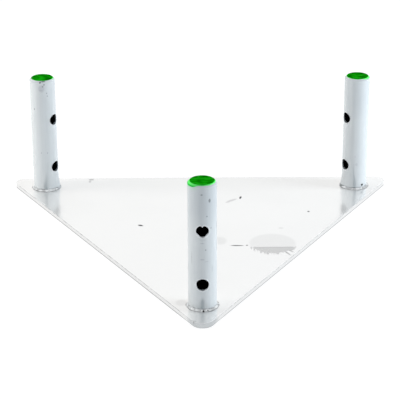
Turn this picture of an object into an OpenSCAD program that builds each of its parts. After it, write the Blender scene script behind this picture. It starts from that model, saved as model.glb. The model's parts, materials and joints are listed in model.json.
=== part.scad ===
// Base of a three-legged lattice tower: a flat triangular steel plate that carries
// three upright stub legs, over which the tubes of the first tower section slide.
// The origin is on the underside of the plate, at the centre of the triangle.
// +Z is up, and the front leg stands at -Y.

/* [Plate] */
// Distance between the axes of neighbouring legs
leg_spacing = 317.5; // [200:0.5:600]
// Distance from a leg's axis to the nearest edges of the plate
edge_margin = 23; // [19:0.5:60]
// Thickness of the plate
plate_t = 4.76; // [3:0.01:20]
// Radius of the plate's corners
corner_r = 10; // [2:0.5:18]
// Bore at the plate's centre that drops over the anchor pin
pin_bore_d = 20.6; // [8:0.1:60]

/* [Legs] */
// Diameter of the round bar
leg_d = 25.4; // [20:0.1:30]
// Height of a leg above the plate
leg_h = 119; // [100:0.5:250]
// Chamfer round the top of a leg
leg_chamfer = 2; // [0.5:0.1:5]

/* [Cross holes] */
// Diameter of the bolt holes through a leg
bolt_hole_d = 11.1; // [6:0.1:14]
// Height of the lower hole's axis above the plate
lower_hole_h = 25.4; // [15:0.1:35]
// Distance from the lower hole's axis to the upper one's
hole_pitch = 50.8; // [20:0.1:60]

/* [Welds] */
// Width of the fillet weld along the leg and along the plate
weld_w = 2; // [1.5:0.1:5]
// Height of the bead's crown over a flat fillet
weld_crown = 0.2; // [0.1:0.05:0.4]
// Thickness of the bead at its toes, on the leg and on the plate
weld_toe = 0.2; // [0.1:0.05:0.5]
// How far the weld bites into the bar at the plate
weld_root = 1; // [0.5:0.1:2]

/* [Hidden] */

$fn = 96;

// The legs stand at the corners of an equilateral triangle. Seen from above they
// follow each other anticlockwise round its centre: front, right, left
front_angle = -90;
turn_angle = 120;
leg_angles = [for (turn = [0:2]) front_angle + turn * turn_angle];
leg_circle_r = leg_spacing / (2 * sin(turn_angle / 2));
leg_r = leg_d / 2;

// The edges on each side of a corner face away from each other by one turn, so
// the line out to the corner lies at half a turn to what each edge faces
slant_angle = turn_angle / 2;
corner_circle_r = leg_circle_r + (edge_margin - corner_r) / cos(slant_angle);

// How far a cut runs past the surface that it opens
cut_over = 1;

// The bead's face is an arc from the top of one toe to the top of the other. Its
// centre lies on the line that halves the corner between leg and plate, set back
// from that corner both ways
half_chord = (weld_w - weld_toe) / sqrt(2);
weld_face_r = (pow(half_chord, 2) + pow(weld_crown, 2)) / (2 * weld_crown);
weld_setback = ((weld_face_r - weld_crown) * sqrt(2) - weld_w - weld_toe) / 2;

function polar(r, a) = [r * cos(a), r * sin(a)];

module at_leg(angle) {
    place = polar(leg_circle_r, angle);
    translate([place[0], place[1], plate_t])
        rotate([0, 0, angle])
            children();
}

module plate_outline() {
    tangents = [
        for (a = leg_angles, side = [-slant_angle, slant_angle])
            polar(corner_circle_r, a) + polar(corner_r, a + side)
    ];
    polygon(tangents);
    for (a = leg_angles)
        translate(polar(corner_circle_r, a))
            circle(r = corner_r);
}

module base_plate() {
    color("gainsboro")
        difference() {
            linear_extrude(height = plate_t)
                plate_outline();
            translate([0, 0, -cut_over])
                cylinder(d = pin_bore_d, h = plate_t + 2 * cut_over);
        }
}

// A turned bar, drilled twice along the line to the centre of the plate. Its foot
// narrows where the weld bites into it, so the bare bar starts at the bead's top
module leg() {
    bore_l = leg_d + 2 * cut_over;
    color("silver")
        difference() {
            rotate_extrude()
                polygon([
                    [0, 0],
                    [leg_r - weld_root, 0],
                    [leg_r, weld_w],
                    [leg_r, leg_h - leg_chamfer],
                    [leg_r - leg_chamfer, leg_h],
                    [0, leg_h]
                ]);
            for (h = [lower_hole_h, lower_hole_h + hole_pitch])
                translate([0, 0, h])
                    rotate([0, 90, 0])
                        cylinder(d = bolt_hole_d, h = bore_l, center = true);
        }
}

// A convex fillet bead round the foot of a leg. Its inner side is the bite into the
// bar, and the arc of its face cuts off the outer corner
module weld() {
    color("darkgray")
        rotate_extrude()
            intersection() {
                polygon([
                    [leg_r - weld_root, 0],
                    [leg_r + weld_w, 0],
                    [leg_r + weld_w, weld_w],
                    [leg_r, weld_w]
                ]);
                translate([leg_r - weld_setback, -weld_setback])
                    circle(r = weld_face_r);
            }
}

module leg_front() { at_leg(leg_angles[0]) leg(); }
module leg_right() { at_leg(leg_angles[1]) leg(); }
module leg_left() { at_leg(leg_angles[2]) leg(); }
module weld_front() { at_leg(leg_angles[0]) weld(); }
module weld_right() { at_leg(leg_angles[1]) weld(); }
module weld_left() { at_leg(leg_angles[2]) weld(); }

base_plate();
leg_front();
leg_right();
leg_left();
weld_front();
weld_right();
weld_left();
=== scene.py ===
"""Looks of a three-legged tower's base plate, on a pale floor in soft studio light.

The part is hot-dip galvanised steel and its leg tips are painted green. Everything is in
the part's own frame: the origin is on the plate's underside at the centre of the triangle,
+Z is up and the front leg stands at -Y. Lengths are metres, worked out as millimetres
times MM.
"""

import json
import math
from collections import namedtuple

import bpy
from mathutils import Matrix, Vector


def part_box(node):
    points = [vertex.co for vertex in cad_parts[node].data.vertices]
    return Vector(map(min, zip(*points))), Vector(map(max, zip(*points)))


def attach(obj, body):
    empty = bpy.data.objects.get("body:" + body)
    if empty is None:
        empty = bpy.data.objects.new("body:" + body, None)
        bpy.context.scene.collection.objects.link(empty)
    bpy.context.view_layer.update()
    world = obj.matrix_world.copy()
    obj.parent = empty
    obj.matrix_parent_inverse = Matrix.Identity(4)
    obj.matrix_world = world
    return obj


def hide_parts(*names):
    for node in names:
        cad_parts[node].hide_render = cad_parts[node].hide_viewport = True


MM = 0.001
BODY = "root"
LEVELS = ("lower", "upper")
SIDES = ("out", "in")

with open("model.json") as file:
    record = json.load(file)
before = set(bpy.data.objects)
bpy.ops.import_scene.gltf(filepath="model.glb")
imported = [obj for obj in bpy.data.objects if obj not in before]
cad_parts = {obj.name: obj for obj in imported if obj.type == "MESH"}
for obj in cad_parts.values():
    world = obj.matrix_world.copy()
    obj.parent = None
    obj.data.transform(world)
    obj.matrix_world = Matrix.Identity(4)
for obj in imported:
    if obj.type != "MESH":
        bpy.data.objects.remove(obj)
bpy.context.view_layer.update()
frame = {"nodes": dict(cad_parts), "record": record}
mounts = {mount["name"]: mount for mount in frame["record"]["mounts"]}

# Heights over the plate's underside, and radii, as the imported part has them
PLATE_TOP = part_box("base_plate")[1].z
WELD_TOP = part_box("weld_front")[1].z
WELD_OUTER_R = (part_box("weld_front")[1].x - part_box("weld_front")[0].x) / 2
LEG_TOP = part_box("leg_front")[1].z
LEG_R = mounts["leg_pin_front"]["dims"]["r_mm"] * MM
HOLE_R = mounts["bolt_hole_front_lower"]["dims"]["r_mm"] * MM
HOLE_HEIGHTS = {level: mounts["bolt_hole_front_" + level]["pos_m"][2] for level in LEVELS}

# The chamfer round a leg's top and the weld's bite into its foot, as in the part's source
LEG_CHAMFER = 2 * MM
WELD_BITE = 1 * MM

Leg = namedtuple("Leg", "name axis outward")


def read_leg(name):
    """A leg's axis in plan, and the angle from the plate's centre out to it."""
    x, y, _ = mounts["leg_pin_" + name]["pos_m"]
    return Leg(name, Vector((x, y, 0)), math.atan2(y, x))


LEGS = {name: read_leg(name) for name in ("front", "right", "left")}


def turned(angle):
    """The level unit vector at that angle."""
    return Vector((math.cos(angle), math.sin(angle), 0))


def by_leg(leg, out, angle, height):
    """The point that far from a leg's axis, at that angle and that height above the plate."""
    return leg.axis + turned(angle) * out + Vector((0, 0, PLATE_TOP + height))


# Nodes

def rgb(red, green, blue):
    """A linear colour as a colour socket takes it."""
    return (red, green, blue, 1.0)


class Graph:
    """The nodes of one material or world. Most methods add nodes and return a socket."""

    def __init__(self, owner):
        owner.use_nodes = True
        self.nodes = owner.node_tree.nodes
        self.links = owner.node_tree.links
        self.nodes.clear()

    def add(self, kind, inputs=(), **settings):
        """A new node. inputs gives a value or a socket for an input's name or number."""
        node = self.nodes.new(kind)
        for name, value in settings.items():
            setattr(node, name, value)
        for key, value in dict(inputs).items():
            if isinstance(value, bpy.types.NodeSocket):
                self.links.new(value, node.inputs[key])
            else:
                node.inputs[key].default_value = value
        return node

    def combine(self, operation, *values):
        return self.add("ShaderNodeMath", enumerate(values), operation=operation).outputs[0]

    def vectors(self, operation, *values):
        return self.add("ShaderNodeVectorMath", enumerate(values), operation=operation)

    def chain(self, operation, first, *others):
        """The values combined one after another."""
        for other in others:
            first = self.combine(operation, first, other)
        return first

    def total(self, *values):
        return self.chain("ADD", *values)

    def product(self, *values):
        return self.chain("MULTIPLY", *values)

    def highest(self, *values):
        return self.chain("MAXIMUM", *values)

    def minus(self, first, second):
        return self.combine("SUBTRACT", first, second)

    def rest(self, value):
        """What value leaves of 1."""
        return self.minus(1.0, value)

    def length(self, *sides):
        return self.combine("SQRT", self.total(*[self.product(side, side) for side in sides]))

    def step(self, value, start, end, low=0.0, high=1.0):
        """Goes smoothly from low at start to high at end."""
        inputs = {"Value": value, "From Min": start, "From Max": end, "To Min": low, "To Max": high}
        return self.add("ShaderNodeMapRange", inputs, interpolation_type="SMOOTHSTEP").outputs[0]

    def mix(self, factor, first, second, blend="MIX"):
        """The first colour where factor is 0, and the second where it is 1."""
        inputs = {0: factor, 6: first, 7: second}
        return self.add("ShaderNodeMix", inputs, data_type="RGBA", blend_type=blend).outputs[2]

    def tinted(self, colour, tone):
        """The colour times a tone."""
        return self.mix(1.0, colour, tone, "MULTIPLY")

    def position(self):
        return self.add("ShaderNodeTexCoord").outputs["Object"]

    def parts(self, vector):
        return self.add("ShaderNodeSeparateXYZ", {0: vector}).outputs

    def beside(self, vector, origin):
        """The place as seen from origin."""
        return self.vectors("SUBTRACT", vector, origin).outputs[0]

    def towards(self, across, along, angle):
        """How far a place with those two coordinates in plan lies towards that angle."""
        return self.total(self.product(across, math.cos(angle)), self.product(along, math.sin(angle)))

    def stretched(self, vector, factors):
        """The place with each axis times its factor, so that a texture on it is drawn out."""
        return self.vectors("MULTIPLY", vector, factors).outputs[0]

    def noise(self, vector, size, detail):
        """Noise with blotches of about that size."""
        inputs = {"Vector": vector, "Scale": 1 / size, "Detail": detail}
        return self.add("ShaderNodeTexNoise", inputs).outputs

    def patches(self, vector, size, detail, *steps):
        """Blotches of about that size, set off from each other as step does it."""
        return self.step(self.noise(vector, size, detail)[0], *steps)

    def shaken(self, vector, size, reach):
        """The place moved about by up to reach, which frays whatever is drawn on it."""
        colour = self.noise(vector, size, 3.0)["Color"]
        shifted = self.vectors("MULTIPLY_ADD", colour, (2 * reach,) * 3, vector).outputs[0]
        return self.vectors("SUBTRACT", shifted, (reach,) * 3).outputs[0]

    def cells(self, vector, size):
        """A random number for each crystal of about that size."""
        cells = self.add("ShaderNodeTexVoronoi", {"Vector": vector, "Scale": 1 / size})
        return self.add("ShaderNodeSeparateColor", {0: cells.outputs["Color"]}).outputs[0]

    def spot(self, vector, centre, halves, depth, turn=0.0, core=0.5):
        """A spot that fades out towards the ellipsoid with those half sizes.

        It has its full depth from core of the way in, as a share, to the centre.
        """
        inputs = {"Vector": vector, "Location": centre, "Rotation": (0, 0, turn), "Scale": halves}
        local = self.add("ShaderNodeMapping", inputs, vector_type="TEXTURE").outputs[0]
        ball = self.add("ShaderNodeTexGradient", {0: local}, gradient_type="SPHERICAL")
        return self.step(ball.outputs["Fac"], 0.0, core, 0.0, depth)

    def bump(self, height, depth, base=None):
        """The normal of a surface with that height on it, over the base normal if there is one."""
        inputs = {"Strength": 1.0, "Distance": depth, "Height": height}
        if base is not None:
            inputs["Normal"] = base
        return self.add("ShaderNodeBump", inputs).outputs["Normal"]

    def finish(self, colour, roughness, normal, metallic):
        inputs = {"Base Color": colour, "Roughness": roughness, "Normal": normal, "Metallic": metallic}
        shader = self.add("ShaderNodeBsdfPrincipled", inputs)
        self.show(shader, "ShaderNodeOutputMaterial")
        return shader

    def show(self, shader, output):
        self.add(output, {"Surface": shader.outputs[0]})


# Metal

ZINC = rgb(0.955, 0.955, 0.955)
ZINC_DULL = rgb(0.86, 0.865, 0.87)
PLATE_WARM = rgb(0.975, 0.958, 0.935)
PLATE_WARMTH = 0.7

# The zinc is greyer on the legs and welds and on the plate's edges
LEG_TONE = rgb(0.705, 0.735, 0.75)
WELD_TONE = rgb(0.84, 0.86, 0.87)
EDGE_TONE = rgb(0.80, 0.80, 0.795)
# Painted reflection: the plate's edges are darker still round the front corner
FRONT_CORNER_SHADE = rgb(0.55, 0.57, 0.58)

# Marks and dirt, and painted shade in the holes, at the weld creases and along the plate's foot
PLATE_DIRT_AND_SHADE = rgb(0.05, 0.05, 0.055)
LEG_DIRT_AND_SHADE = rgb(0.002, 0.002, 0.002)
WELD_DIRT_AND_SHADE = rgb(0.004, 0.004, 0.004)

# How much of each surface mirrors. The plate's flat top mirrors less than its edges
PLATE_METAL = 0.50
EDGE_METAL = 0.92
LEG_METAL = 0.45
WELD_METAL = 0.70

# How rough each surface is, and what dull zinc, the stain, and paint or grime add to that
PLATE_ROUGHNESS = 0.17
LEG_ROUGHNESS = 0.13
WELD_ROUGHNESS = 0.26
DULL_ROUGHER = 0.12
WELD_DULL_ROUGHER = 0.15
STAIN_ROUGHER = 0.25
MATT_ROUGHER = 0.5

# The zinc's texture: cloudy patches, crystals with wandering outlines, waves and fine grain
CLOUD_SIZE = 70 * MM
CLOUD_DULLNESS = 0.45
CRYSTAL_SIZE = 7 * MM
WANDER_SIZE = 6 * MM
WANDER = 1.5 * MM
WAVE_SIZE = 14 * MM
WAVE_DEPTH = 0.10 * MM
GRAIN_SIZE = 0.7 * MM
GRAIN_DEPTH = 0.006 * MM

# How much the crystals dull the zinc on the plate, and on the legs and welds
PLATE_SPANGLE = 0.14
BAR_SPANGLE = 0.08


def zinc(graph, where, spangle):
    """The colour, dullness and normal of a galvanised surface."""
    clouds = graph.patches(where, CLOUD_SIZE, 3.0, 0.42, 0.72, 0.0, CLOUD_DULLNESS)
    crystals = graph.cells(graph.shaken(where, WANDER_SIZE, WANDER), CRYSTAL_SIZE)
    dullness = graph.total(clouds, graph.product(crystals, spangle))
    colour = graph.mix(dullness, ZINC, ZINC_DULL)
    waves = graph.bump(graph.noise(where, WAVE_SIZE, 1.0)[0], WAVE_DEPTH)
    normal = graph.bump(graph.noise(where, GRAIN_SIZE, 2.0)[0], GRAIN_DEPTH, waves)
    return colour, dullness, normal


# The plate's top gives way to its edge between these two heights
TOP_FROM = PLATE_TOP - 0.1 * MM
EDGE_FROM = PLATE_TOP - 0.3 * MM

# Marks on the plate: the centre in plan, half length and half width, all in mm, the turn in
# degrees and the depth of tone
Mark = namedtuple("Mark", "x y long wide turn depth")
PLATE_MARKS = [
    Mark(-59.2, -9.1, 3.6, 2.2, -25, 0.97),
    Mark(-113.5, 110.0, 3.6, 3.0, 0, 0.42),
    Mark(-114.6, 105.0, 1.8, 4.5, 0, 0.30),
    Mark(31.5, 52.5, 8.5, 2.6, 40, 0.26),
    Mark(27.5, 48.0, 3.6, 2.0, 30, 0.22),
    Mark(40.6, 59.7, 1.5, 4.6, -10, 0.95),
    Mark(107.3, 22.8, 1.5, 2.4, 0, 0.80),
    Mark(16.2, 90.7, 1.6, 2.6, 0, 0.75),
    Mark(77.8, -17.3, 3.2, 2.2, 0, 0.16),
    Mark(33.9, -57.8, 8.0, 1.5, -2, 0.85),
    Mark(43.4, -57.4, 1.6, 1.6, 0, 0.75),
    Mark(18.1, -46.5, 8.0, 12.0, 0, 0.11),
    Mark(-18.5, -179.0, 7.0, 8.0, 0, 0.13),
    Mark(13.2, -178.5, 1.1, 1.6, 0, 0.90),
    Mark(-7.2, -215.0, 2.0, 1.6, 0, 0.30),
]
SCRATCHES = [
    Mark(80.9, -75.4, 8.5, 1.1, -62, 0.50),
    Mark(83.8, -70.4, 6.5, 1.0, -45, 0.50),
]

# A round stain, pale above a straight line and darker below it. Its dark part is narrower
# than the circle by STAIN_SQUEEZE, runs out past it by STAIN_REACH and ends in torn teeth
STAIN_AT = Vector((67.8, -53.2, 0)) * MM
STAIN_R = 24 * MM
STAIN_LINE_Y = -61.2 * MM
STAIN_PALE = 0.10
STAIN_DARK = 0.36
STAIN_LINE_DARK = 0.07
STAIN_SQUEEZE = 1.09
STAIN_REACH = 2.6 * MM
TOOTH_WIDE = 1.6 * MM
TOOTH_LONG = 4.0 * MM

# The dark bands on the plate's edge are weaker to the right, and fade out round the front corner
FRONT_CORNER_Y = -212 * MM
RIGHT_EDGE_DARKNESS = 0.75
FRONT_CORNER_DARKNESS = 0.15


def dark_spots(graph, where, marks):
    """How much each spot of the plate is darkened by the marks."""
    depths = []
    for mark in marks:
        centre = (mark.x * MM, mark.y * MM, PLATE_TOP)
        halves = (mark.long * MM, mark.wide * MM, PLATE_TOP)
        depths.append(graph.spot(where, centre, halves, mark.depth, math.radians(mark.turn)))
    return graph.highest(*depths)


def round_stain(graph, where):
    """How dark the round stain and the scratches beside it are."""
    local_x, local_y, _ = graph.parts(graph.beside(where, STAIN_AT))
    out = graph.length(local_x, local_y)
    narrower = graph.length(graph.product(local_x, STAIN_SQUEEZE), local_y)
    upright = graph.stretched(where, (1.0, 0.10, 1.0))
    torn = graph.total(narrower, graph.patches(upright, TOOTH_WIDE, 1.0, 0.42, 0.60, 0.0, TOOTH_LONG))
    above = graph.minus(graph.parts(where)[1], STAIN_LINE_Y)
    below = graph.step(above, 0.5 * MM, -0.5 * MM)
    line = graph.product(below, graph.step(above, -3.0 * MM, -0.8 * MM, 0.0, STAIN_LINE_DARK))
    pale = graph.step(out, STAIN_R, STAIN_R - 4.0 * MM, 0.0, STAIN_PALE)
    dark = graph.step(torn, STAIN_R + STAIN_REACH, STAIN_R + STAIN_REACH - 1.0 * MM)
    upper = graph.product(pale, graph.rest(below))
    lower = graph.product(dark, below, graph.total(STAIN_DARK, line))
    return graph.highest(graph.total(upper, lower), dark_spots(graph, where, SCRATCHES))


def toe_lines(graph, where):
    """A thin uneven dark line where each weld meets the plate: painted shade in that crease."""
    lines = []
    for leg in LEGS.values():
        local_x, local_y, _ = graph.parts(graph.beside(where, leg.axis))
        out = graph.length(local_x, local_y)
        lines.append(graph.step(out, WELD_OUTER_R + 0.9 * MM, WELD_OUTER_R + 0.1 * MM))
    uneven = graph.patches(where, 5 * MM, 3.0, 0.40, 0.62, 0.08, 0.60)
    return graph.product(graph.highest(*lines), uneven)


def edge_dark_bands(graph, where):
    """Dark bands on the plate's edge: an uneven one under its arris, and a painted shadow at its foot.
    """
    rightward, backward, height = graph.parts(where)
    arris = graph.product(
        graph.step(height, PLATE_TOP - 1.1 * MM, PLATE_TOP - 0.8 * MM),
        graph.step(height, PLATE_TOP - 0.02 * MM, TOP_FROM),
        graph.patches(where, 6 * MM, 4.0, 0.38, 0.62, 0.16, 0.46),
    )
    # Painted shadow where the plate's edge meets the floor
    foot = graph.step(height, 1.3 * MM, 0.5 * MM, 0.0, 0.52)
    corner = graph.step(backward, FRONT_CORNER_Y, FRONT_CORNER_Y + 22 * MM, FRONT_CORNER_DARKNESS, 1.0)
    side = graph.step(rightward, -30 * MM, 40 * MM, 1.0, RIGHT_EDGE_DARKNESS)
    return graph.product(graph.highest(arris, foot), corner, side)


def plate_material():
    material = bpy.data.materials.new("galvanised_plate")
    graph = Graph(material)
    where = graph.position()
    _, backward, height = graph.parts(where)
    on_top = graph.step(height, EDGE_FROM, TOP_FROM)
    colour, dullness, normal = zinc(graph, where, PLATE_SPANGLE)
    colour = graph.mix(PLATE_WARMTH, colour, PLATE_WARM)
    # Painted reflection: the edges are darker round the front corner
    front_corner = graph.step(backward, FRONT_CORNER_Y + 10 * MM, FRONT_CORNER_Y)
    colour = graph.mix(on_top, graph.mix(front_corner, EDGE_TONE, FRONT_CORNER_SHADE), colour)
    stain = graph.product(round_stain(graph, where), on_top)
    toes = graph.product(toe_lines(graph, where), on_top)
    marks = dark_spots(graph, graph.shaken(where, 1.6 * MM, 0.6 * MM), PLATE_MARKS)
    # Marks, the stain, the edge bands and the toe lines; the band at the edge's foot and the toe lines
    # are painted shade
    dirt_and_shade = graph.highest(marks, stain, edge_dark_bands(graph, where), toes)
    colour = graph.mix(dirt_and_shade, colour, PLATE_DIRT_AND_SHADE)
    roughness = graph.total(
        PLATE_ROUGHNESS,
        graph.product(dullness, DULL_ROUGHER),
        graph.product(stain, STAIN_ROUGHER),
    )
    metallic = graph.step(height, EDGE_FROM, TOP_FROM, EDGE_METAL, PLATE_METAL)
    graph.finish(colour, roughness, normal, metallic)
    return material


# Marks on a leg: the angle round it in degrees, then the height above the plate, half width
# and half height in mm, and the depth of tone
LegMark = namedtuple("LegMark", "angle height wide high depth")
LEG_MARKS = {
    "front": [
        LegMark(-92.8, 110.3, 1.2, 0.8, 0.45),
        LegMark(-60.4, 104.5, 1.3, 2.3, 0.50),
        LegMark(-71.6, 90.1, 0.8, 0.8, 0.40),
        LegMark(-54.1, 78.6, 1.0, 0.7, 0.45),
        LegMark(-76.7, 58.8, 0.8, 0.8, 0.50),
        LegMark(-12.0, 79.0, 0.6, 5.5, 0.35),
        LegMark(-90.8, 65.0, 2.6, 0.50, 0.24),
        LegMark(-90.8, 49.7, 2.6, 0.50, 0.28),
        LegMark(-73.0, 47.6, 2.2, 0.45, 0.18),
        LegMark(-136.7, 49.5, 0.5, 8.0, 0.20),
        LegMark(-48.0, 40.0, 0.4, 4.5, 0.22),
        LegMark(-88.0, 69.0, 4.0, 2.5, 0.05),
    ],
    "right": [
        LegMark(-94.9, 35.9, 0.6, 0.7, 0.25),
        LegMark(-87.2, 27.5, 1.8, 2.2, 0.12),
        LegMark(-55.0, 4.4, 1.7, 1.5, 1.0),
    ],
    "left": [
        LegMark(-80.0, 118.4, 4.6, 0.9, 0.80),
        LegMark(-95.0, 117.6, 1.4, 1.3, 0.70),
        LegMark(-77.0, 115.2, 0.9, 1.3, 0.50),
        LegMark(-84.0, 113.4, 1.0, 1.4, 0.42),
        LegMark(-90.0, 111.0, 4.2, 4.8, 0.14),
        LegMark(-93.0, 109.2, 3.0, 0.6, 0.22),
        LegMark(-66.0, 106.0, 0.7, 1.2, 0.35),
        LegMark(-129.9, 88.7, 0.9, 0.9, 0.60),
        LegMark(-64.0, 103.0, 0.8, 0.9, 0.40),
        LegMark(-101.7, 42.2, 0.7, 0.8, 0.35),
        LegMark(-74.0, 42.1, 0.7, 0.8, 0.35),
    ],
}
# How far in from a leg's surface its marks reach
MARK_DEEP = 2.5 * MM

# Fine streaks along the bar, and a lighter tone on the lips of its holes
STREAK = rgb(0.78, 0.80, 0.82)
STREAK_SIZE = 1.3 * MM
STREAK_STRENGTH = 0.22
LIP_TONE = rgb(0.78, 0.80, 0.81)

# Two of the legs are darker towards their tips, a painted reflection of the dimmer floor. It sets
# in at the first of these lengths below their tops and is full at the second
TIP_SHADE = {"front": 0.42, "right": 0.26, "left": 0.0}
TIP_SHADE_FROM = 55 * MM
TIP_SHADE_FULL = TIP_SHADE_FROM / 3
TIP_SHADE_TONE = rgb(0.50, 0.54, 0.57)

# On a bore's floor the painted shade sets in this much more slowly, leaving a painted lit stretch at
# each mouth
BORE_FLOOR_LIT = 1.3

PAINT_DARK = rgb(0.001, 0.16, 0.001)
PAINT = rgb(0.003, 0.27, 0.001)
PAINT_FRESH = rgb(0.008, 0.42, 0.006)
# The mist's light green, which is also a painted highlight on the chamfer
PAINT_MIST_AND_HIGHLIGHT = rgb(0.14, 0.92, 0.17)
PAINT_RUN = rgb(0.015, 0.50, 0.06)

# How the paint ends on a leg: all round it covers edge mm of the chamfer, and towards one
# side it runs down by run mm more, with a mist of drops below
Brush = namedtuple("Brush", "side edge run mist")
BRUSHES = {
    "front": Brush(190, 0.95, 1.9, 5.0),
    "right": Brush(-5, 0.45, 0.9, 0.0),
    "left": Brush(20, 0.25, 0.4, 0.0),
}
# The run is full up to the first angle from its side and gone at the second
PAINT_RUN_INNER = math.radians(24)
PAINT_RUN_OUTER = math.radians(66)
PAINT_RAGGED = 0.5 * MM
MIST_STRENGTH = 0.22

# A place on a leg: coordinates in plan from its axis, distance from the axis, and height
LegPlace = namedtuple("LegPlace", "x y out height")


def leg_zinc(graph, leg, where, height):
    """The colour, dullness and normal of the zinc on a leg."""
    colour, dullness, normal = zinc(graph, where, BAR_SPANGLE)
    drawn = graph.stretched(where, (1.0, 1.0, 0.05))
    streaks = graph.patches(drawn, STREAK_SIZE, 3.0, 0.38, 0.75, 0.0, STREAK_STRENGTH)
    colour = graph.tinted(graph.mix(streaks, colour, STREAK), LEG_TONE)
    # Painted reflection: darker towards the tip
    tip = graph.step(height, LEG_TOP - TIP_SHADE_FROM, LEG_TOP - TIP_SHADE_FULL, 0.0, TIP_SHADE[leg.name])
    return graph.mix(tip, colour, TIP_SHADE_TONE), dullness, normal


def leg_marks_and_shade(graph, leg, where, height):
    """Specks and scuffs, and an uneven dark line where the bar leaves the weld: painted shade in that
    crease.
    """
    # Painted shade in the crease above the weld
    depths = [graph.product(
        graph.step(height, WELD_TOP + 0.8 * MM, WELD_TOP + 0.1 * MM),
        graph.patches(where, 4 * MM, 3.0, 0.40, 0.64, 0.06, 0.52),
    )]
    frayed = graph.shaken(where, 1.2 * MM, 0.35 * MM)
    for mark in LEG_MARKS[leg.name]:
        angle = math.radians(mark.angle)
        centre = by_leg(leg, LEG_R, angle, mark.height * MM)
        halves = (MARK_DEEP, mark.wide * MM, mark.high * MM)
        depths.append(graph.spot(frayed, centre, halves, mark.depth, angle))
    return graph.highest(*depths)


def bore_shade(graph, leg, place):
    """How far a place is on a hole's lip, and how much painted shade darkens it inside the holes."""
    across = graph.towards(place.x, place.y, leg.outward + math.pi / 2)
    lips = []
    floors = []
    for hole_height in HOLE_HEIGHTS.values():
        rise = graph.minus(place.height, hole_height)
        lips.append(graph.step(graph.length(across, rise), HOLE_R + 1.4 * MM, HOLE_R + 0.5 * MM))
        floors.append(graph.product(
            graph.step(rise, -0.60 * HOLE_R, -0.98 * HOLE_R),
            graph.step(rise, -1.3 * HOLE_R, -1.1 * HOLE_R),
        ))
    # Painted shade inside the holes, darker the deeper in, held back on each bore's floor near the
    # mouth
    slowing = graph.total(1.0, graph.product(graph.highest(*floors), BORE_FLOOR_LIT))
    depth = graph.combine("DIVIDE", graph.minus(LEG_R, place.out), slowing)
    inside = graph.product(
        graph.step(depth, 0.2 * MM, 1.3 * MM),
        graph.step(place.height, LEG_TOP - LEG_CHAMFER, LEG_TOP - LEG_CHAMFER - 0.5 * MM),
        graph.step(place.height, WELD_TOP, WELD_TOP + 1 * MM),
    )
    return graph.highest(*lips), inside


def painted_part(graph, leg, where, place):
    """How much paint covers a place on a leg, and how much mist."""
    brush = BRUSHES[leg.name]
    facing = graph.towards(place.x, place.y, math.radians(brush.side))
    cosine = graph.combine("DIVIDE", facing, place.out)
    share = graph.step(cosine, math.cos(PAINT_RUN_OUTER), math.cos(PAINT_RUN_INNER))
    below_top = graph.minus(LEG_TOP, place.height)
    limit = graph.total(
        brush.edge * MM - PAINT_RAGGED / 2,
        graph.product(share, brush.run * MM),
        graph.product(graph.noise(where, 2.2 * MM, 2.0)[0], PAINT_RAGGED),
    )
    paint = graph.step(graph.minus(below_top, limit), 0.12 * MM, -0.12 * MM)
    mist_end = (brush.run + brush.mist) * MM
    mist = graph.product(share, graph.step(below_top, mist_end, brush.run * MM, 0.0, MIST_STRENGTH))
    return paint, mist


def with_paint(graph, where, height, colour, paint, mist):
    """Green, dark and a little uneven on the flat top, thinner on the chamfer and lighter there as a
    painted highlight.
    """
    flat_top = graph.step(height, LEG_TOP - 0.35 * MM, LEG_TOP - 0.1 * MM)
    pools = graph.noise(graph.stretched(where, (1.0, 2.2, 1.0)), 7 * MM, 2.0)[0]
    thick = graph.mix(graph.step(pools, 0.34, 0.50), PAINT_DARK, PAINT)
    thick = graph.mix(graph.step(pools, 0.50, 0.62), thick, PAINT_FRESH)
    # Thin paint on the chamfer, lighter towards its top as a painted highlight
    on_chamfer = graph.step(height, LEG_TOP - LEG_CHAMFER, LEG_TOP - 1.2 * MM)
    thin = graph.mix(on_chamfer, PAINT_RUN, PAINT_MIST_AND_HIGHLIGHT)
    colour = graph.mix(mist, colour, PAINT_MIST_AND_HIGHLIGHT)
    colour = graph.mix(paint, colour, thin)
    return graph.mix(flat_top, colour, thick)


def leg_material(leg):
    material = bpy.data.materials.new("galvanised_leg_" + leg.name)
    graph = Graph(material)
    where = graph.position()
    local_x, local_y, height = graph.parts(graph.beside(where, leg.axis))
    place = LegPlace(local_x, local_y, graph.length(local_x, local_y), height)
    colour, dullness, normal = leg_zinc(graph, leg, where, height)
    lips, inside = bore_shade(graph, leg, place)
    colour = graph.mix(lips, colour, LIP_TONE)
    dirt_and_shade = graph.highest(inside, leg_marks_and_shade(graph, leg, where, height))
    colour = graph.mix(dirt_and_shade, colour, LEG_DIRT_AND_SHADE)
    paint, mist = painted_part(graph, leg, where, place)
    colour = with_paint(graph, where, height, colour, paint, mist)
    # Paint and the painted shade inside the holes are matt and don't mirror
    matt = graph.highest(paint, inside)
    roughness = graph.total(
        LEG_ROUGHNESS,
        graph.product(dullness, DULL_ROUGHER),
        graph.product(matt, MATT_ROUGHER),
    )
    # What doesn't mirror on a leg has no gloss
    shader = graph.finish(colour, roughness, normal, graph.product(graph.rest(matt), LEG_METAL))
    shader.inputs["Specular IOR Level"].default_value = 0.0
    return material


# Pits in the welds, drawn dark as painted shade in hollows the mesh lacks: the leg, the distance
# from its axis in mm, the angle in degrees, the height above the plate and half size in mm, and
# the depth of tone
Pit = namedtuple("Pit", "leg out angle height half depth")
PITS = [
    Pit("front", 14.2, -87.0, 0.9, 1.25, 1.0),
    Pit("front", 13.9, -70.5, 1.1, 1.0, 0.8),
    Pit("front", 14.0, -97.0, 1.4, 0.9, 0.7),
    Pit("right", 13.6, -52.0, 1.6, 1.0, 0.5),
    Pit("left", 14.0, -128.0, 0.6, 1.6, 0.5),
]
PIT_CORE = 0.4


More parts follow.
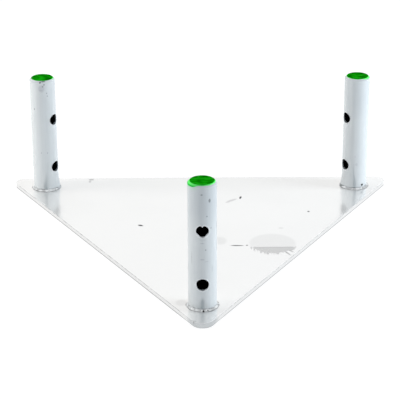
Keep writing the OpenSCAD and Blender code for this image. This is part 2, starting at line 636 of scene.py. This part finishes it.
def weld_material():
    material = bpy.data.materials.new("galvanised_weld")
    graph = Graph(material)
    where = graph.position()
    height = graph.parts(where)[2]
    colour, dullness, normal = zinc(graph, where, BAR_SPANGLE)
    colour = graph.tinted(colour, WELD_TONE)
    # Painted shade at the bead's root, where it meets the plate
    toe = graph.step(height, PLATE_TOP + 0.6 * MM, PLATE_TOP + 0.15 * MM, 0.0, 0.60)
    blotches = graph.patches(where, 3.5 * MM, 2.0, 0.40, 0.62, 0.03, 0.40)
    depths = [toe, blotches]
    frayed = graph.shaken(where, 1.0 * MM, 0.3 * MM)
    for pit in PITS:
        centre = by_leg(LEGS[pit.leg], pit.out * MM, math.radians(pit.angle), pit.height * MM)
        depths.append(graph.spot(frayed, centre, (pit.half * MM,) * 3, pit.depth, core=PIT_CORE))
    colour = graph.mix(graph.highest(*depths), colour, WELD_DIRT_AND_SHADE)
    roughness = graph.total(WELD_ROUGHNESS, graph.product(dullness, WELD_DULL_ROUGHER))
    graph.finish(colour, roughness, normal, WELD_METAL)
    return material


# Added pieces

def new_piece(name, points, faces, material):
    """A smooth mesh piece that rides with the part."""
    mesh = bpy.data.meshes.new(name)
    mesh.from_pydata([tuple(point) for point in points], [], faces)
    mesh.materials.append(material)
    mesh.polygons.foreach_set("use_smooth", [True] * len(mesh.polygons))
    mesh.update()
    piece = bpy.data.objects.new(name, mesh)
    bpy.context.scene.collection.objects.link(piece)
    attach(piece, BODY)
    return piece


def ring_faces(rings, points_per_ring):
    """Quads between neighbouring rings of points, the last ring joined to the first."""
    faces = []
    for ring in range(rings):
        following = (ring + 1) % rings
        for point in range(points_per_ring):
            beside = (point + 1) % points_per_ring
            faces.append((
                ring * points_per_ring + point,
                following * points_per_ring + point,
                following * points_per_ring + beside,
                ring * points_per_ring + beside,
            ))
    return faces


BEAD_STEPS = 288
BEAD_ARC_POINTS = 12
BEAD_CROWN = 0.12 * MM
# How much narrower than its box the bead is on average. It wanders from none to twice that
BEAD_WANDER = 0.22 * MM
# Ripples round the bead, how deep they are and how far they trail behind on its crown
RIPPLES = 36
RIPPLE_DEPTH = 0.07 * MM
RIPPLE_TRAIL = 3.0


def bead_section(angle, narrow):
    """The bead's points at that angle, from its top round to its root, as distance and height."""
    width = WELD_OUTER_R - LEG_R
    tall = WELD_TOP - PLATE_TOP
    section = []
    for index in range(BEAD_ARC_POINTS + 1):
        share = index / BEAD_ARC_POINTS
        crown = math.sin(math.pi * share)
        ripple = math.cos(RIPPLES * angle + RIPPLE_TRAIL * crown) - 1
        lift = (BEAD_CROWN + RIPPLE_DEPTH * ripple) * crown * math.sqrt(0.5)
        out = LEG_R + (width - narrow) * share + lift
        height = (tall - narrow / 2) * (1 - share) + lift
        section.append((min(out, WELD_OUTER_R), min(height, tall)))
    section.append((LEG_R - WELD_BITE, 0.0))
    return section


def weld_bead(leg, material):
    """A fillet bead round a leg's foot, with the ripples that the welding left."""
    points = []
    for step in range(BEAD_STEPS):
        angle = 2 * math.pi * step / BEAD_STEPS
        wander = 0.5 * math.sin(3 * angle + leg.outward) + 0.5 * math.sin(7 * angle + 2)
        for out, height in bead_section(angle, BEAD_WANDER * (1 + wander)):
            points.append(by_leg(leg, out, angle, height))
    faces = ring_faces(BEAD_STEPS, BEAD_ARC_POINTS + 2)
    bead = new_piece("weld_bead_" + leg.name, points, faces, material)
    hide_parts("weld_" + leg.name)


LIP_STEPS = 96
LIP_SIDES = 10
LIP_R = 0.38 * MM
# How far outside the hole's edge the middle of its lip lies
LIP_OFFSET = 0.35 * MM

# Where zinc hardened thicker on a mouth: the turn round it from the horizontal and how far it
# spreads to each side, in degrees, and how far it stands into the mouth in mm
Lump = namedtuple("Lump", "turn spread extra")
LUMPS = {
    ("front", "upper", "out"): [Lump(90, 14, 1.8), Lump(226, 42, 1.0), Lump(314, 42, 1.0)],
    ("front", "lower", "out"): [Lump(300, 24, 0.5), Lump(180, 40, 0.2)],
}


def lump_at(lumps, turn):
    """How far the zinc stands into a mouth at that turn round it."""
    extra = 0.0
    for lump in lumps:
        away = abs((math.degrees(turn) - lump.turn + 180) % 360 - 180)
        if away < lump.spread:
            extra = max(extra, lump.extra * MM * math.cos(math.pi / 2 * away / lump.spread) ** 2)
    return extra


def hole_lip(leg, level, side, material):
    """The thin roll of zinc round one mouth of a cross hole."""
    facing = 1 if side == "out" else -1
    radial = turned(leg.outward) * facing
    tangent = Vector((-radial.y, radial.x, 0))
    lumps = LUMPS.get((leg.name, level, side), [])
    points = []
    for step in range(LIP_STEPS):
        turn = 2 * math.pi * step / LIP_STEPS
        extra = lump_at(lumps, turn)
        ring_r = HOLE_R + LIP_OFFSET - extra / 2
        spread = tangent * math.cos(turn) + Vector((0, 0, math.sin(turn)))
        off_axis = ring_r * math.cos(turn)
        depth = math.sqrt(LEG_R ** 2 - off_axis ** 2)
        outward = (radial * depth + tangent * off_axis) / LEG_R
        centre = leg.axis + radial * depth + spread * ring_r
        centre.z += HOLE_HEIGHTS[level]
        for index in range(LIP_SIDES):
            around = 2 * math.pi * index / LIP_SIDES
            reach = spread * math.cos(around) * (LIP_R + extra / 2)
            points.append(centre + reach + outward * math.sin(around) * LIP_R)
    name = f"hole_lip_{leg.name}_{level}_{side}"
    new_piece(name, points, ring_faces(LIP_STEPS, LIP_SIDES), material)


# Runs of zinc that drained down the inner side of a leg: the angle where they lie, how high
# they start and how far they stand out at the foot in mm, and half their width in degrees
Run = namedtuple("Run", "angle high out half")
RUNS = {
    "left": Run(-4, 15.7, 2.3, 46),
    "right": Run(184, 14.0, 2.0, 46),
}
RUN_LEVELS = 24
RUN_STEPS = 24
# How far a run's back lies under the leg's surface, and how much narrower its top is
RUN_SUNK = 0.5 * MM
RUN_TAPER = 0.35


def zinc_run(leg, material):
    """A thin run of zinc on a leg, thickest at its foot."""
    run = RUNS[leg.name]
    points = []
    for level in range(RUN_LEVELS + 1):
        share = level / RUN_LEVELS
        swell = run.out * MM * (1 - share) ** 2
        half = run.half * (1 - RUN_TAPER * share)
        for face in (1, -1):
            for step in range(RUN_STEPS + 1):
                off = (2 * step / RUN_STEPS - 1) * face
                out = LEG_R - RUN_SUNK
                if face == 1:
                    bulge = math.cos(math.pi / 2 * off) ** 2
                    out = LEG_R + (swell + RUN_SUNK / 2) * bulge - RUN_SUNK / 4
                angle = math.radians(run.angle + half * off)
                points.append(by_leg(leg, out, angle, run.high * MM * share))
    per_level = 2 * (RUN_STEPS + 1)
    foot = tuple(reversed(range(per_level)))
    head = tuple(range(RUN_LEVELS * per_level, (RUN_LEVELS + 1) * per_level))
    faces = [foot, head]
    for level in range(RUN_LEVELS):
        lower = level * per_level
        upper = lower + per_level
        for point in range(per_level):
            beside = (point + 1) % per_level
            faces.append((lower + point, lower + beside, upper + beside, upper + point))
    new_piece("zinc_run_" + leg.name, points, faces, material)


# The camera, from fitting the plate's and legs' outlines
CAMERA_PLACE = Vector((-8.966, -1500.648, 662.699)) * MM
CAMERA_DOWN = math.radians(22.94)
CAMERA_TURN = math.radians(0.31)
CAMERA_ROLL = math.radians(-0.23)
CAMERA_LENS = 150.0
CAMERA_SENSOR = 36.0


def make_camera():
    data = bpy.data.cameras.new("camera")
    data.sensor_width = CAMERA_SENSOR
    data.lens = CAMERA_LENS
    camera = bpy.data.objects.new("camera", data)
    bpy.context.scene.collection.objects.link(camera)
    rotation = (
        Matrix.Rotation(-CAMERA_TURN, 4, "Z")
        @ Matrix.Rotation(math.pi / 2 - CAMERA_DOWN, 4, "X")
        @ Matrix.Rotation(CAMERA_ROLL, 4, "Z")
    )
    camera.matrix_world = Matrix.Translation(CAMERA_PLACE) @ rotation
    bpy.context.scene.camera = camera


# Studio

WHITE = rgb(1, 1, 1)

# What lights the part from round about is dimmer in front of it than behind it. From left to
# right the dim side changes over between these two directions
DIM_LEFT = rgb(0.12, 0.17, 0.20)
DIM_RIGHT = rgb(0.10, 0.17, 0.25)
DIM_CHANGE = (-0.6, 0.6)
BEHIND = rgb(0.60, 0.60, 0.60)

# Metal mirrors the same white as the camera sees, except for whoever stands at the camera
CAMERA_SHADE = rgb(0.13, 0.18, 0.19)
CAMERA_SHADE_INNER = math.radians(6)
CAMERA_SHADE_OUTER = math.radians(18)


def make_world():
    """White to look at and in metal, but for the shade at the camera, and dimmer as a light."""
    world = bpy.data.worlds.new("studio")
    bpy.context.scene.world = world
    graph = Graph(world)
    direction = graph.add("ShaderNodeTexCoord").outputs["Generated"]
    rightward, backward, _ = graph.parts(direction)
    dim = graph.mix(graph.step(rightward, *DIM_CHANGE), DIM_LEFT, DIM_RIGHT)
    surround = graph.mix(graph.combine("MULTIPLY_ADD", backward, 0.5, 0.5), dim, BEHIND)
    facing = graph.vectors("DOT_PRODUCT", direction, CAMERA_PLACE.normalized()).outputs["Value"]
    shade = graph.step(facing, math.cos(CAMERA_SHADE_OUTER), math.cos(CAMERA_SHADE_INNER))
    mirrored = graph.mix(shade, WHITE, CAMERA_SHADE)
    rays = graph.add("ShaderNodeLightPath").outputs
    in_metal = graph.highest(rays["Is Glossy Ray"], rays["Is Transmission Ray"])
    shown = graph.mix(rays["Is Camera Ray"], graph.mix(in_metal, surround, mirrored), WHITE)
    background = graph.add("ShaderNodeBackground", {"Color": shown, "Strength": 1.0})
    graph.show(background, "ShaderNodeOutputWorld")


# The floor is pale to the light. To the camera and in metal it glows, and what the lamps add
# brings it to white wherever the part's shadow doesn't fall
FLOOR_PALE = rgb(0.8, 0.8, 0.8)
FLOOR_SHOWN = rgb(0.25, 0.25, 0.25)
FLOOR_GLOW = 0.85
FLOOR_HALF = 3.0
FLOOR_GAP = 0.2 * MM


def floor_material():
    material = bpy.data.materials.new("studio_floor")
    graph = Graph(material)
    rays = graph.add("ShaderNodeLightPath").outputs
    seen = graph.highest(rays["Is Camera Ray"], rays["Is Glossy Ray"], rays["Is Transmission Ray"])
    pale = graph.add("ShaderNodeBsdfDiffuse", {"Color": FLOOR_PALE}).outputs[0]
    soft = graph.add("ShaderNodeBsdfDiffuse", {"Color": FLOOR_SHOWN}).outputs[0]
    glow = graph.add("ShaderNodeEmission", {"Strength": FLOOR_GLOW}).outputs[0]
    shown = graph.add("ShaderNodeAddShader", {0: soft, 1: glow}).outputs[0]
    either = graph.add("ShaderNodeMixShader", {0: seen, 1: pale, 2: shown})
    graph.show(either, "ShaderNodeOutputMaterial")
    return material


def make_floor():
    mesh = bpy.data.meshes.new("floor")
    signs = ((-1, -1), (1, -1), (1, 1), (-1, 1))
    corners = [(x * FLOOR_HALF, y * FLOOR_HALF, -FLOOR_GAP) for x, y in signs]
    mesh.from_pydata(corners, [], [(0, 1, 2, 3)])
    mesh.materials.append(floor_material())
    floor = bpy.data.objects.new("floor", mesh)
    bpy.context.scene.collection.objects.link(floor)


# A softbox overhead and a fill on each side, which lights the legs' flanks. All are aimed
# just over the plate's middle, and none of them shows in the metal
Lamp = namedtuple("Lamp", "name place side watts colour")
LAMPS = [
    Lamp("softbox", (-0.3, 0.65, 1.6), 1.0, 8.0, (1.0, 1.0, 1.0)),
    Lamp("fill_left", (-1.1, 0.0, 0.25), 0.5, 9.0, (1.0, 0.96, 0.91)),
    Lamp("fill_right", (1.2, -0.1, 0.25), 0.5, 16.5, (0.87, 0.945, 1.0)),
]
LAMP_TARGET = Vector((0, 0, 30)) * MM


def make_lamp(lamp):
    light = bpy.data.lights.new(lamp.name, "AREA")
    light.shape = "SQUARE"
    light.size = lamp.side
    light.energy = lamp.watts
    light.color = lamp.colour
    holder = bpy.data.objects.new(lamp.name, light)
    holder.location = lamp.place
    holder.visible_glossy = False
    bpy.context.scene.collection.objects.link(holder)
    holder.rotation_euler = (LAMP_TARGET - holder.location).to_track_quat("-Z", "Y").to_euler()


def set_material(node, material):
    """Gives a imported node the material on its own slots."""
    for slot in frame["nodes"][node].material_slots:
        slot.link = "OBJECT"
        slot.material = material


def main():
    bpy.context.scene.view_settings.view_transform = "Standard"
    make_camera()
    make_world()
    make_floor()
    for lamp in LAMPS:
        make_lamp(lamp)

    set_material("base_plate", plate_material())
    weld = weld_material()
    for leg in LEGS.values():
        metal = leg_material(leg)
        set_material("leg_" + leg.name, metal)
        weld_bead(leg, weld)
        for level in LEVELS:
            for side in SIDES:
                hole_lip(leg, level, side, metal)
        if leg.name in RUNS:
            zinc_run(leg, metal)


main()
